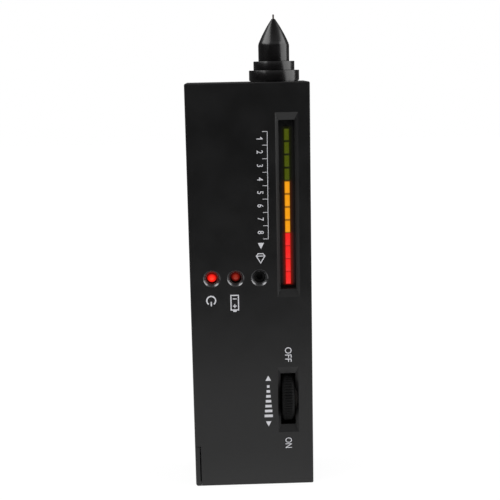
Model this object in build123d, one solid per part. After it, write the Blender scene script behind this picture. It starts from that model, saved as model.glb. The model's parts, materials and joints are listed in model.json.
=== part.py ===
from build123d import *
import math
import os

# Pocket tester for gemstones with a heated point, in millimetres.
# It stands on its bottom end: +Z runs up to the point, the front faces -Y, +X is on the right.
# The origin is the middle of the bottom end.

# Walls and joints of the moulded case
wall_side = 1.65
wall_front = 1.6
wall_end = 1.6
edge_r = 0.35
corner_extra_r = 0.1
lip_t = 0.7
lip_h = 1.0
lip_gap = 0.1
root = 0.3
overrun = 2.0

# Nine volt battery and the bay that holds it
battery_w = 25.4
battery_t = 16.8
battery_h = 46.4
battery_edge_r = 1.2
battery_clear = 0.5
battery_side_gap = 0.1
jacket_t = 0.4
cell_gap = 0.15
cell_top_gap = 2.0
cell_count = 6
snap_pitch = 12.7
snap_h = 2.0
snap_stud_r = 2.8
snap_ring_r = 4.2
snap_ring_inner_r = 2.92
snap_lift = 0.2
connector_inset = 0.7
connector_d = 13.0
connector_t = 2.2

# Battery door: a plate under the battery with a leg up the left side
door_leg_t = 1.45
door_leg_h = 13.0
heel_extra_r = 0.45
door_slit = 0.4
door_gap = 0.15
tongue_d = 0.5
tongue_t = 0.7
tongue_z = 0.65
tongue_gap = 0.1
grip_count = 4
grip_pitch = 2.0
grip_r = 0.4
grip_inset = 3.0
pad_t = 1.0
pad_inset = 3.0
pad_gap = 0.3

# Ribs and shelf round the bay
rib_t = 1.2
rib_gap = 0.2
rib_wheel_gap = 2.0
rib_lift = 0.15
seam_gap = 0.05
shelf_gap = 0.5
shelf_t = 1.2
shelf_notch_r = 1.6

# Thumbwheel and the control behind it
wheel_r = 8.5
wheel_w = 3.8
wheel_gap = 0.4
wheel_out = 2.0
wheel_z = 27.8
wheel_shoulder = 0.75
wheel_teeth = 60
wheel_tooth_d = 0.3
land_share = 0.55
wheel_recess_r = 6.4
wheel_recess_d = 1.3
wheel_hub_r = 3.0
wheel_screw_r = 0.8
wheel_screw_head_r = 1.9
wheel_screw_head_h = 0.8
wheel_screw_l = 5.0
bore_gap = 0.05
control_t = 3.7
control_back = 7.6
control_h = 15.0
control_corner_r = 2.5
rotor_disc_r = 2.6
rotor_disc_t = 0.3
rotor_r = 1.5
rotor_l = 2.3
rotor_fit = 0.08
rotor_end_gap = 0.3
terminal_count = 3
terminal_pitch = 1.6
terminal_w = 0.9
terminal_t = 0.4
terminal_h = 3.0

# Slot for the wheel, and how both slots are bevelled
slot_land = 0.6
wheel_slot_w = 4.6
wheel_slot_h = 16.7
wheel_slot_side = 0.95
wheel_slot_end = 2.25
relief_r = 6.45
relief_w = 6.3

# Circuit board and the room above and below it
board_gap_z = 4.1
board_t = 1.6
board_side_gap = 0.7
board_front_gap = 5.9
head_room = 6.9
post_r = 2.0
board_screw_r = 0.9
board_screw_l = 4.5
board_screw_head_r = 1.8
board_screw_head_h = 1.2
post_side_in = 3.4
post_gap = 0.7
post_top_in = 5.5
post_low_in = 17.5
pin_hole = 0.8

# Display: twelve bar lamps in a holder behind a bevelled slot
bar_count = 12
bar_group = 4
bar_pitch = 4.0
bar_h = 3.85
bar_w = 1.5
bar_in = 5.35
bar_low_gap = 4.8
bar_top_gap = 5.2
bar_front_gap = 0.9
bar_d = 3.4
bar_fit = 0.05
bar_pocket_d = 1.7
holder_w = 8.0
holder_margin = 1.7
display_w = 4.8
display_top = 2.5
display_low = 1.2
display_side = 1.05
display_shift = 0.1
display_end = 2.3
leg_w = 0.45
leg_spread = 2.54
leg_out = 0.9

# Two round lamps and the hole for the sounder, in one row
lamp_shares = [0.2215, 0.4627, 0.7043]
lamp_up = 7.5
lamp_hole_r = 1.75
lamp_sink_r = 2.65
lamp_r = 1.5
lamp_flange_r = 1.9
lamp_flange_h = 1.0
lamp_front_gap = 1.3
lamp_l = 5.3
sounder_gap = 0.45
sounder_front_gap = 0.3
sounder_hole_r = 1.0
sounder_hole_d = 1.5

# Parts on the back of the board
field_gap = 3.1
chip_count = 3
chip_w = 3.9
chip_l = 8.7
chip_t = 1.5
chip_stand = 0.15
chip_pins = 7
chip_pin_pitch = 1.27
chip_pin_w = 0.42
chip_pin_out = 1.0
chip_pin_h = 0.9
can_r = 2.5
can_h = 7.0
can_edge = 0.4
can_up = 13.5
can_shares = [0.29, 0.54]
trimmer_w = 6.6
trimmer_t = 4.6
trimmer_dial_r = 1.9
trimmer_dial_d = 0.6
trimmer_slot_w = 0.6
trimmer_share = 0.2
trimmer_top_in = 12.0
resistor_count = 6
resistor_w = 1.6
resistor_l = 3.2
resistor_t = 0.6
resistor_gap = 1.0
resistor_top_in = 9.5

# Case screws
boss_r = 2.1
back_boss_r = 2.6
screw_in = 3.05
screw_top_in = 4.5
screw_low_up = 8.0
screw_shelf_up = 1.8
screw_r = 1.1
screw_gap = 0.1
screw_grip = 5.5
screw_head_r = 1.75
screw_head_h = 1.3
screw_seat = 4.0
screw_recess_r = 1.95
thread_gap = 0.02

# Probe
probe_in = 10.05
collar_r = 7.65
collar_h = 3.4
collar_stem_r = 3.3
collar_flange_r = 4.2
collar_flange_t = 1.45
collar_bore_r = 2.0
collar_socket_d = 2.0
stem_gap = 0.1
stem_play = 0.05
ring_r = 6.25
ring_h = 2.7
ring_edge = 0.25
spigot_r = 3.6
spigot_gap = 0.05
nose_r = 4.7
nose_body_h = 5.0
nose_cone_h = 7.6
nose_end_r = 0.7
nose_end_round = 0.3
nose_bulge = 0.22
nose_steps = 4
nose_bore_r = 2.2
nose_bore_up = 7.1
tip_r = 0.25
tip_out = 1.3
tip_fit = 0.07
tip_round = 0.12
head_r = 1.75
head_h = 1.8
head_gap = 0.03
rod_r = 0.6
rod_l = 2.4
heater_r = 0.85
heater_h = 1.3
seat_t = 1.0
seat_hole_r = 1.0
seat_gap = 0.05
spring_wire_r = 0.18
spring_r = 1.45
spring_turns = 4
spring_end_gap = 0.02

# Flexible leads
lead_r = 0.5
probe_lead_r = 0.42
wire_sides = 6
bend_share = 0.45
control_lead_pitch = 1.6
battery_lead_pitch = 1.3
probe_lead_pitch = 2.9
lead_swing = 3.0
lead_rise = 7.0
battery_lead_back = 6.0
battery_lead_up = 9.5

# Places worked out across the width, from the left side to the right
case_w = (
    door_leg_t
    + door_slit
    + battery_side_gap
    + battery_w
    + wheel_gap
    + wheel_w
    + wheel_gap
    + control_t
    + wall_side
)
half_w = case_w / 2
inner_x = half_w - wall_side
bay_x = -half_w + door_leg_t + door_slit
battery_x0 = bay_x + battery_side_gap
battery_x1 = battery_x0 + battery_w
battery_x = (battery_x0 + battery_x1) / 2
rib_x0 = battery_x1 + rib_gap
rib_x1 = rib_x0 + rib_t
wheel_x0 = battery_x1 + wheel_gap
wheel_x1 = wheel_x0 + wheel_w
wheel_x = (wheel_x0 + wheel_x1) / 2
control_x = wheel_x1 + wheel_gap
bar_x = inner_x - bar_in
display_x = bar_x - display_shift
probe_x = half_w - probe_in
holder_x0 = bar_x - holder_w / 2
field_x0 = -inner_x + board_side_gap
field_w = bar_x - field_gap - field_x0
lamp_xs = [-half_w + share * (bar_x + half_w) for share in lamp_shares]
sounder_r = holder_x0 - sounder_gap - lamp_xs[2]

# Places worked out through the depth, from the front to the back
case_d = 2 * (wall_front + battery_clear) + battery_t
half_d = case_d / 2
front_y = -half_d
back_y = half_d
inner_front = front_y + wall_front
inner_back = back_y - wall_front
board_y0 = inner_front + board_front_gap
board_y1 = board_y0 + board_t
wheel_y = front_y + wheel_r - wheel_out
bevel_d = wall_front - slot_land

# Places worked out up the length, from the bottom to the point
pad_z1 = wall_end + pad_t
battery_z0 = pad_z1 + pad_gap
battery_z1 = battery_z0 + battery_h
connector_z0 = battery_z1 + snap_h + snap_lift
connector_z1 = connector_z0 + connector_t
shelf_z0 = connector_z1 + shelf_gap
shelf_z1 = shelf_z0 + shelf_t
board_z0 = shelf_z1 + board_gap_z
bar_z0 = board_z0 + bar_low_gap
bar_z1 = bar_z0 + bar_count * bar_pitch
board_z1 = bar_z1 + bar_top_gap
inner_top = board_z1 + head_room
case_l = inner_top + wall_end
display_z0 = bar_z0 - display_low
display_z1 = bar_z1 + display_top
lamp_z = board_z0 + lamp_up
collar_z1 = case_l + collar_h
ring_z1 = collar_z1 + ring_h
cone_z0 = ring_z1 + nose_body_h
nose_z1 = cone_z0 + nose_cone_h
tip_z1 = nose_z1 + tip_out
bore_z1 = ring_z1 + nose_bore_up
head_z1 = bore_z1 - head_gap
head_z0 = head_z1 - head_h
rod_z0 = head_z0 - rod_l
seat_z1 = rod_z0 - heater_h + head_gap
seat_z0 = seat_z1 - seat_t

screw_places = [
    (-half_w + screw_in, case_l - screw_top_in),
    (half_w - screw_in, case_l - screw_top_in),
    (-half_w + screw_in, shelf_z1 + screw_shelf_up),
    (half_w - screw_in, screw_low_up),
]
post_places = [
    (-inner_x + post_side_in, board_z1 - post_top_in),
    (holder_x0 - post_gap - post_r, board_z0 + post_low_in),
]
bar_centres = [bar_z0 + (i + 0.5) * bar_pitch for i in range(bar_count)]
bar_legs = [(bar_x, z + side * leg_spread / 2) for z in bar_centres for side in (-1, 1)]
lamp_legs = [(x + side * leg_spread / 2, lamp_z) for x in lamp_xs[:2] for side in (-1, 1)]
sounder_legs = [(lamp_xs[2] + side * leg_spread, lamp_z) for side in (-1, 1)]


# Building blocks


def box_between(x0, x1, y0, y1, z0, z1):
    corner = (Align.MIN, Align.MIN, Align.MIN)
    return Pos(x0, y0, z0) * Box(x1 - x0, y1 - y0, z1 - z0, align=corner)


def upright(r, length):
    return Cylinder(r, length, align=(Align.CENTER, Align.CENTER, Align.MIN))


def rod_x(r, x0, x1, y, z):
    return Pos(x0, y, z) * Rot(0, 90, 0) * upright(r, x1 - x0)


def rod_y(r, y0, y1, x, z):
    return Pos(x, y0, z) * Rot(-90, 0, 0) * upright(r, y1 - y0)


def rod_z(r, z0, z1, x, y):
    return Pos(x, y, z0) * upright(r, z1 - z0)


def facing_front(y):
    return Plane(origin=(0, y, 0), x_dir=(1, 0, 0), z_dir=(0, -1, 0))


def turned_z(outline, x, y):
    """A shape of revolution about a vertical axis, from points or curves in radius and height."""
    face = Plane.XZ * make_face(outline)
    return Pos(x, y, 0) * revolve(face, Axis.Z)


def bevelled_slot(x, z, w, h, side, end):
    """A slot through the front wall, wider and longer at the face than inside."""
    mouth = facing_front(front_y) * Pos(x, z) * Rectangle(w + 2 * side, h + 2 * end)
    throat = facing_front(front_y + bevel_d) * Pos(x, z) * Rectangle(w, h)
    through = box_between(x - w / 2, x + w / 2, front_y, inner_front + overrun, z - h / 2, z + h / 2)
    return loft([mouth.face(), throat.face()]) + through


def lead(points, r):
    """A flexible lead: straight runs joined by arcs as large as the runs allow."""
    places = [Vector(*p) for p in points]
    radii = []
    for before, here, after in zip(places, places[1:], places[2:]):
        turn = math.radians((here - before).get_angle(after - here))
        run = min((here - before).length, (after - here).length)
        radii.append(bend_share * run / math.tan(turn / 2))
    path = FilletPolyline(*places, radius=radii)
    start = Plane(origin=path @ 0, z_dir=path % 0)
    return sweep(start * RegularPolygon(r, wire_sides), path=path)


def save(shape, node):
    export_step(shape, "parts/" + node + ".step")


def joined(shapes):
    return Compound(children=[solid for shape in shapes for solid in shape.solids()])


# Case


def outer_block(extra_r):
    """The outside of the case: corners rounded by a little more than the rims of front and back."""
    block = Box(case_w, case_d, case_l, align=(Align.CENTER, Align.CENTER, Align.MIN))
    block = fillet(block.edges().filter_by(Axis.Y), edge_r + extra_r)
    faces = block.faces().sort_by(Axis.Y)
    return fillet(faces[0].edges() + faces[-1].edges(), edge_r)


def casing():
    """The hollow case before it is cut into its two halves."""
    block = outer_block(corner_extra_r)
    block -= box_between(-inner_x, inner_x, inner_front, inner_back, wall_end, inner_top)
    block -= rod_z(collar_stem_r + stem_gap, inner_top - overrun, case_l + overrun, probe_x, 0)
    return block


def door_room():
    """The space that the battery door takes out of both halves."""
    leg = box_between(
        -half_w - overrun,
        bay_x,
        front_y - overrun,
        back_y + overrun,
        -overrun,
        door_leg_h + door_gap,
    )
    plate = box_between(-half_w, rib_x1, inner_front, inner_back, -overrun, wall_end)
    groove = box_between(
        -half_w,
        rib_x1,
        inner_front - tongue_d - tongue_gap,
        inner_back + tongue_d + tongue_gap,
        tongue_z - tongue_gap,
        tongue_z + tongue_t + tongue_gap,
    )
    return leg + plate + groove


def lip_ring(outer, inner, y1):
    """A band round the seam of the case, given how far it reaches out and in from the inner wall."""
    band = box_between(-inner_x - outer, inner_x + outer, 0, y1, wall_end - outer, inner_top + outer)
    hole = box_between(-inner_x + inner, inner_x - inner, 0, y1, wall_end + inner, inner_top - inner)
    return band - hole


def bay_walls(y0, y1):
    """Ribs on the right of the battery and the shelf above it, between two depths."""
    low = box_between(rib_x0, rib_x1, y0, y1, wall_end + rib_lift, wheel_z - wheel_r - rib_wheel_gap)
    high = box_between(rib_x0, rib_x1, y0, y1, wheel_z + wheel_r + rib_wheel_gap, shelf_z1)
    shelf = box_between(-inner_x - root, rib_x1, y0, y1, shelf_z0, shelf_z1)
    shelf -= rod_z(shelf_notch_r, shelf_z0, shelf_z1, battery_x, 0)
    return low + high + shelf


def front_shell():
    shell = casing() & box_between(-case_w, case_w, -case_d, 0, -overrun, case_l + overrun)
    shell += lip_ring(lip_t, 0, lip_h)
    shell += bay_walls(inner_front - root, -seam_gap)
    for x, z in screw_places:
        shell += rod_y(boss_r, inner_front - root, 0, x, z)
    for x, z in post_places:
        shell += rod_y(post_r, inner_front - root, board_y0, x, z)
    for x, z in screw_places:
        shell -= rod_y(screw_r + thread_gap, -screw_grip - screw_gap, overrun, x, z)
    for x, z in post_places:
        shell -= rod_y(
            board_screw_r + thread_gap, board_y1 - board_screw_l - screw_gap, board_y0 + overrun, x, z
        )
    shell -= door_room()
    shell -= rod_z(collar_stem_r + stem_gap, inner_top - overrun, case_l + overrun, probe_x, 0)
    shell -= bevelled_slot(wheel_x, wheel_z, wheel_slot_w, wheel_slot_h, wheel_slot_side, wheel_slot_end)
    shell -= rod_x(relief_r, wheel_x - relief_w / 2, wheel_x + relief_w / 2, wheel_y, wheel_z)
    shell -= bevelled_slot(
        display_x,
        (display_z0 + display_z1) / 2,
        display_w,
        display_z1 - display_z0,
        display_side,
        display_end,
    )
    for x in lamp_xs:
        shell -= rod_y(lamp_hole_r, front_y - overrun, inner_front + overrun, x, lamp_z)
        sink = Cone(lamp_sink_r, lamp_hole_r, bevel_d, align=(Align.CENTER, Align.CENTER, Align.MIN))
        shell -= Pos(x, front_y, lamp_z) * Rot(-90, 0, 0) * sink
    return shell


def rear_shell():
    shell = casing() & box_between(-case_w, case_w, 0, case_d, -overrun, case_l + overrun)
    shell += bay_walls(seam_gap, inner_back + root)
    for x, z in screw_places:
        shell += rod_y(back_boss_r, 0, inner_back + root, x, z)
    shell -= lip_ring(lip_t + lip_gap, lip_gap, lip_h + lip_gap)
    for x, z in screw_places:
        shell -= rod_y(screw_r + screw_gap, -overrun, screw_seat + overrun, x, z)
        shell -= rod_y(screw_recess_r, screw_seat, back_y + overrun, x, z)
    shell -= door_room()
    shell -= rod_z(collar_stem_r + stem_gap, inner_top - overrun, case_l + overrun, probe_x, 0)
    return shell


def case_screws():
    screws = []
    for x, z in screw_places:
        shank = rod_y(screw_r, -screw_grip, screw_seat, x, z)
        screws.append(shank + rod_y(screw_head_r, screw_seat, screw_seat + screw_head_h, x, z))
    return joined(screws)


def battery_door():
    """Leg and plate in one piece: the leg's foot closes the slit at its lower end."""
    leg_x1 = -half_w + door_leg_t
    leg = box_between(-half_w, leg_x1, -half_d, half_d, 0, door_leg_h)
    foot = box_between(-half_w, bay_x - door_gap, -half_d, half_d, 0, wall_end)
    plate = box_between(
        leg_x1, rib_x1 - door_gap, inner_front + door_gap, inner_back - door_gap, 0, wall_end
    )
    tongue = box_between(
        bay_x,
        rib_x1 - door_gap - tongue_gap,
        inner_front - tongue_d,
        inner_back + tongue_d,
        tongue_z,
        tongue_z + tongue_t,
    )
    door = (outer_block(heel_extra_r) & (leg + foot)) + plate + tongue
    for i in range(grip_count):
        z = door_leg_h / 2 + (i - (grip_count - 1) / 2) * grip_pitch
        door -= rod_y(grip_r, front_y + grip_inset, back_y - grip_inset, -half_w, z)
    return door


def battery_pad():
    return box_between(
        battery_x0 + pad_inset,
        battery_x1 - pad_inset,
        -battery_t / 2 + pad_inset,
        battery_t / 2 - pad_inset,
        wall_end,
        pad_z1,
    )


# Battery


def battery_jacket():
    block = box_between(battery_x0, battery_x1, -battery_t / 2, battery_t / 2, battery_z0, battery_z1)
    block = fillet(block.edges().filter_by(Axis.Z), battery_edge_r)
    return block - box_between(
        battery_x0 + jacket_t,
        battery_x1 - jacket_t,
        -battery_t / 2 + jacket_t,
        battery_t / 2 - jacket_t,
        battery_z0 + jacket_t,
        battery_z1 - jacket_t,
    )


def battery_cells():
    """Flat cells, one on the other."""
    inset = jacket_t + cell_gap
    low = battery_z0 + jacket_t
    step = (battery_z1 - jacket_t - cell_top_gap - low) / cell_count
    cells = []
    for i in range(cell_count):
        cells.append(
            box_between(
                battery_x0 + inset,
                battery_x1 - inset,
                inset - battery_t / 2,
                battery_t / 2 - inset,
                low + i * step,
                low + (i + 1) * step - cell_gap,
            )
        )
    return joined(cells)


def snap_pair(z0, z1, stud_x, ring_x, ring_hole_r):
    """One stud and one six sided ring, as on the battery and on the connector."""
    stud = rod_z(snap_stud_r, z0, z1, stud_x, 0)
    ring = Pos(ring_x, 0, z0) * extrude(RegularPolygon(snap_ring_r, 6), z1 - z0)
    ring -= rod_z(ring_hole_r, z0 - overrun, z1 + overrun, ring_x, 0)
    return joined([stud, ring])


def battery_terminals():
    left = battery_x - snap_pitch / 2
    right = battery_x + snap_pitch / 2
    return snap_pair(battery_z1, battery_z1 + snap_h, left, right, snap_ring_inner_r)


def snap_contacts():
    left = battery_x - snap_pitch / 2
    right = battery_x + snap_pitch / 2
    return snap_pair(battery_z1 + snap_lift, connector_z0, right, left, snap_ring_inner_r)


def snap_connector():
    block = box_between(
        battery_x0 + connector_inset,
        battery_x1 - connector_inset,
        -connector_d / 2,
        connector_d / 2,
        connector_z0,
        connector_z1,
    )
    return fillet(block.edges().filter_by(Axis.Z), connector_d / 2 - connector_t)


def battery_lead(side):
    """One lead from the connector, through the shelf, round to the back of the board."""
    x = battery_x + side * battery_lead_pitch / 2
    out_x = x + side * lead_swing
    return lead(
        [
            (x, 0, connector_z1),
            (x, 0, shelf_z1 + lead_r),
            (out_x, board_y1 + battery_lead_back, board_z0 + lead_r),
            (out_x, board_y1 + battery_lead_back, board_z0 + battery_lead_up),
            (out_x, board_y1, board_z0 + battery_lead_up),
        ],
        lead_r,
    )


# Board and its parts


def main_board():
    board = box_between(
        -inner_x + board_side_gap, inner_x - board_side_gap, board_y0, board_y1, board_z0, board_z1
    )
    for x, z in post_places:
        board -= rod_y(board_screw_r + screw_gap, board_y0 - overrun, board_y1 + overrun, x, z)
    half = pin_hole / 2
    for x, z in bar_legs + lamp_legs + sounder_legs:
        board -= box_between(
            x - half, x + half, board_y0 - overrun, board_y1 + overrun, z - half, z + half
        )
    return board


def board_screws():
    screws = []
    for x, z in post_places:
        shank = rod_y(board_screw_r, board_y1 - board_screw_l, board_y1, x, z)
        screws.append(shank + rod_y(board_screw_head_r, board_y1, board_y1 + board_screw_head_h, x, z))
    return joined(screws)


def led_holder():
    """Block behind the display slot, with a well and one long channel for the bar lamps."""
    z0 = display_z0 - holder_margin
    z1 = display_z1 + holder_margin
    block = box_between(bar_x - holder_w / 2, bar_x + holder_w / 2, inner_front, board_y0, z0, z1)
    block -= box_between(
        display_x - display_w / 2,
        display_x + display_w / 2,
        inner_front - overrun,
        inner_front + bar_pocket_d,
        display_z0,
        display_z1,
    )
    half = bar_w / 2 + bar_fit
    block -= box_between(
        bar_x - half,
        bar_x + half,
        inner_front,
        board_y0 + overrun,
        bar_z0 - bar_fit,
        bar_z1 + bar_fit,
    )
    return block


def bar_lamp(index):
    z = bar_centres[index]
    y0 = inner_front + bar_front_gap
    return box_between(bar_x - bar_w / 2, bar_x + bar_w / 2, y0, y0 + bar_d, z - bar_h / 2, z + bar_h / 2)


def round_lamp(x):
    """A lamp with a domed front, a straight body and a flange at its back."""
    y0 = front_y + lamp_front_gap
    y1 = y0 + lamp_l
    body = rod_y(lamp_r, y0 + lamp_r, y1, x, lamp_z)
    dome = Pos(x, y0 + lamp_r, lamp_z) * Sphere(lamp_r)
    return body + dome + rod_y(lamp_flange_r, y1 - lamp_flange_h, y1, x, lamp_z)


def lamp_pins():
    """Two square legs on every lamp and on the sounder, through the board."""
    half = leg_w / 2
    end = board_y1 + leg_out
    groups = [
        (bar_legs, inner_front + bar_front_gap + bar_d),
        (lamp_legs, front_y + lamp_front_gap + lamp_l),
        (sounder_legs, board_y0),
    ]
    pins = []
    for places, start in groups:
        for x, z in places:
            pins.append(box_between(x - half, x + half, start, end, z - half, z + half))
    return joined(pins)


def sounder():
    x = lamp_xs[2]
    start = inner_front + sounder_front_gap
    body = rod_y(sounder_r, start, board_y0, x, lamp_z)
    return body - rod_y(sounder_hole_r, start - overrun, start + sounder_hole_d, x, lamp_z)


def chip_places():
    """Chips in a row across the field, half way between the capacitors and the trimmer."""
    low = board_z0 + can_up + can_r
    high = board_z1 - trimmer_top_in - trimmer_w / 2
    step = field_w / chip_count
    z = (low + high - chip_l) / 2
    return [(field_x0 + (i + 0.5) * step, z) for i in range(chip_count)]


def chips():
    bodies = []
    for x, z in chip_places():
        y0 = board_y1 + chip_stand
        bodies.append(box_between(x - chip_w / 2, x + chip_w / 2, y0, y0 + chip_t, z, z + chip_l))
    return joined(bodies)


def chip_legs():
    pins = []
    for x, z in chip_places():
        middle = z + chip_l / 2
        for i in range(chip_pins):
            pin_z = middle + (i - (chip_pins - 1) / 2) * chip_pin_pitch
            for x0 in (x - chip_w / 2 - chip_pin_out, x + chip_w / 2):
                pins.append(
                    box_between(
                        x0,
                        x0 + chip_pin_out,
                        board_y1,
                        board_y1 + chip_pin_h,
                        pin_z - chip_pin_w / 2,
                        pin_z + chip_pin_w / 2,
                    )
                )
    return joined(pins)


def capacitors():
    cans = []
    for share in can_shares:
        can = rod_y(can_r, board_y1, board_y1 + can_h, field_x0 + share * field_w, board_z0 + can_up)
        top = can.edges().sort_by(Axis.Y)[-1]
        cans.append(chamfer(top, can_edge))
    return joined(cans)


def trimmer():
    x = field_x0 + trimmer_share * field_w
    z = board_z1 - trimmer_top_in
    half = trimmer_w / 2
    top = board_y1 + trimmer_t
    block = box_between(x - half, x + half, board_y1, top, z - half, z + half)
    block -= rod_y(trimmer_dial_r + bore_gap, top - trimmer_dial_d, top + overrun, x, z)
    dial = rod_y(trimmer_dial_r, top - trimmer_dial_d, top, x, z)
    return joined(
        [
            block,
            dial
            - box_between(
                x - trimmer_dial_r,
                x + trimmer_dial_r,
                top - trimmer_dial_d / 2,
                top + overrun,
                z - trimmer_slot_w / 2,
                z + trimmer_slot_w / 2,
            ),
        ]
    )


def resistors():
    """Small flat resistors in a row beside the trimmer."""
    start = field_x0 + trimmer_share * field_w + trimmer_w / 2 + resistor_gap
    step = (field_x0 + field_w - resistor_w - start) / (resistor_count - 1)
    z = board_z1 - resistor_top_in - resistor_l
    bodies = []
    for i in range(resistor_count):
        x = start + i * step
        bodies.append(box_between(x, x + resistor_w, board_y1, board_y1 + resistor_t, z, z + resistor_l))
    return joined(bodies)


# Thumbwheel and control


def thumbwheel():
    """Wheel with fine teeth round its rim, rounded shoulders and a hollow left side."""
    step = 2 * math.pi / wheel_teeth
    corners = []
    for i in range(wheel_teeth):
        angle = i * step
        corners.append((wheel_r * math.cos(angle), wheel_r * math.sin(angle)))
        angle = (i + land_share) * step
        corners.append((wheel_r * math.cos(angle), wheel_r * math.sin(angle)))
        angle = (i + (1 + land_share) / 2) * step
        groove_r = wheel_r - wheel_tooth_d
        corners.append((groove_r * math.cos(angle), groove_r * math.sin(angle)))
    small = (wheel_r - wheel_shoulder) / wheel_r
    slices = [
        (wheel_x0, small),
        (wheel_x0 + wheel_shoulder, 1),
        (wheel_x1 - wheel_shoulder, 1),
        (wheel_x1, small),
    ]
    sections = []
    for x, scale in slices:
        side = Plane(origin=(x, wheel_y, wheel_z), x_dir=(0, 1, 0), z_dir=(1, 0, 0))
        points = [(u * scale, v * scale) for u, v in corners]
        sections.append((side * Polygon(*points, align=None)).face())
    wheel = loft(sections, ruled=True)
    recess = rod_x(wheel_recess_r, wheel_x0 - overrun, wheel_x0 + wheel_recess_d, wheel_y, wheel_z)
    wheel -= recess - rod_x(wheel_hub_r, wheel_x0, wheel_x0 + wheel_recess_d, wheel_y, wheel_z)
    head = wheel_screw_head_r + screw_gap
    wheel -= rod_x(head, wheel_x0 - overrun, wheel_x0 + wheel_recess_d, wheel_y, wheel_z)
    return wheel - rod_x(wheel_screw_r + bore_gap, wheel_x0, wheel_x1 + overrun, wheel_y, wheel_z)


def wheel_screw():
    seat = wheel_x0 + wheel_recess_d
    shank = rod_x(wheel_screw_r, seat, seat + wheel_screw_l, wheel_y, wheel_z)
    return shank + rod_x(wheel_screw_head_r, seat - wheel_screw_head_h, seat, wheel_y, wheel_z)


def control_rotor():
    disc = rod_x(rotor_disc_r, wheel_x1, wheel_x1 + rotor_disc_t, wheel_y, wheel_z)
    spindle = rod_x(rotor_r, wheel_x1, control_x + rotor_l, wheel_y, wheel_z)
    seat = wheel_x0 + wheel_recess_d
    bore = rod_x(wheel_screw_r + bore_gap, wheel_x1, seat + wheel_screw_l + bore_gap, wheel_y, wheel_z)
    return disc + spindle - bore


def control_housing():
    """Body of the control, seated on the front wall and the right wall."""
    block = box_between(
        control_x,
        inner_x,
        inner_front,
        wheel_y + control_back,
        wheel_z - control_h / 2,
        wheel_z + control_h / 2,
    )
    back = block.edges().filter_by(Axis.X).sort_by(Axis.Y)[-2:]
    block = fillet(back, control_corner_r)
    end = control_x + rotor_l + rotor_end_gap
    return block - rod_x(rotor_r + rotor_fit, control_x - overrun, end, wheel_y, wheel_z)


def terminal_places():
    x = (control_x + inner_x) / 2
    middle = (terminal_count - 1) / 2
    return [(x, wheel_y + control_back / 2 + (i - middle) * terminal_pitch) for i in range(terminal_count)]


def control_terminals():
    z0 = wheel_z + control_h / 2
    tabs = []
    for x, y in terminal_places():
        tabs.append(
            box_between(
                x - terminal_w / 2,
                x + terminal_w / 2,
                y - terminal_t / 2,
                y + terminal_t / 2,
                z0,
                z0 + terminal_h,
            )
        )
    return joined(tabs)


def control_leads():
    """Three leads from the control, up past the bay and on to the back of the board."""
    z0 = wheel_z + control_h / 2 + terminal_h
    middle = (terminal_count - 1) / 2
    leads = []
    for i, (x, y) in enumerate(terminal_places()):
        out_x = x + (i - middle) * control_lead_pitch - lead_swing
        leads.append(
            lead(
                [
                    (x, y, z0),
                    (x, y, z0 + lead_rise),
                    (out_x, board_y1 + lead_swing, board_z0 - lead_swing),
                    (out_x, board_y1 + lead_swing, board_z0 + lead_swing),
                    (out_x, board_y1, board_z0 + lead_swing),
                ],
                lead_r,
            )
        )
    return joined(leads)


# Probe


def probe_collar():
    """Base ring on the case, a neck clamped by both halves and a flange inside."""
    ring = rod_z(collar_r, case_l, collar_z1, probe_x, 0)
    ring = chamfer(ring.edges().sort_by(Axis.Z)[-1], ring_edge)
    neck = rod_z(collar_stem_r, inner_top - stem_play, case_l, probe_x, 0)
    flange = rod_z(
        collar_flange_r, inner_top - stem_play - collar_flange_t, inner_top - stem_play, probe_x, 0
    )
    collar = ring + neck + flange
    collar -= rod_z(collar_bore_r, inner_top - overrun - collar_flange_t, collar_z1 + overrun, probe_x, 0)
    socket_r = spigot_r + spigot_gap
    return collar - rod_z(socket_r, collar_z1 - collar_socket_d, collar_z1 + overrun, probe_x, 0)


def probe_ring():
    ring = rod_z(ring_r, collar_z1, ring_z1, probe_x, 0)
    ring = chamfer(ring.edges().sort_by(Axis.Z)[-1], ring_edge)
    return ring - rod_z(spigot_r + spigot_gap, collar_z1 - overrun, ring_z1 + overrun, probe_x, 0)


def probe_nose():
    """Black nose: a spigot down through both rings, a straight body and a rounded cone."""
    foot = collar_z1 - collar_socket_d + stem_play
    drop = nose_r - nose_end_r
    rise = nose_cone_h - nose_end_round
    flank = []
    for i in range(nose_steps + 1):
        share = i / nose_steps
        bulge = nose_bulge * (1 - (2 * share - 1) ** 2) / math.hypot(drop, rise)
        flank.append((nose_r - share * drop + bulge * rise, cone_z0 + share * rise + bulge * drop))
    hole_r = tip_r + tip_fit
    outline = Polyline(
        (nose_bore_r, foot),
        (spigot_r, foot),
        (spigot_r, ring_z1),
        (nose_r, ring_z1),
        *flank,
        (nose_end_r - nose_end_round, nose_z1),
        (hole_r, nose_z1),
        (hole_r, bore_z1),
        (nose_bore_r, bore_z1),
        (nose_bore_r, foot),
    )
    return turned_z(outline, probe_x, 0)


def spring_seat():
    disc = rod_z(nose_bore_r - seat_gap, seat_z0, seat_z1, probe_x, 0)
    return disc - rod_z(seat_hole_r, seat_z0 - overrun, seat_z1 + overrun, probe_x, 0)


def probe_tip():
    """Copper point: a fine pin, a head under the shoulder and a rod down through the spring."""
    outline = Polyline(
        (0, rod_z0),
        (rod_r, rod_z0),
        (rod_r, head_z0),
        (head_r, head_z0),
        (head_r, head_z1),
        (tip_r, head_z1),
        (tip_r, tip_z1 - tip_round),
        (tip_r - tip_round, tip_z1),
        (0, tip_z1),
        (0, rod_z0),
    )
    return turned_z(outline, probe_x, 0)


def tip_heater():
    return rod_z(heater_r, rod_z0 - heater_h, rod_z0, probe_x, 0)


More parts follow.
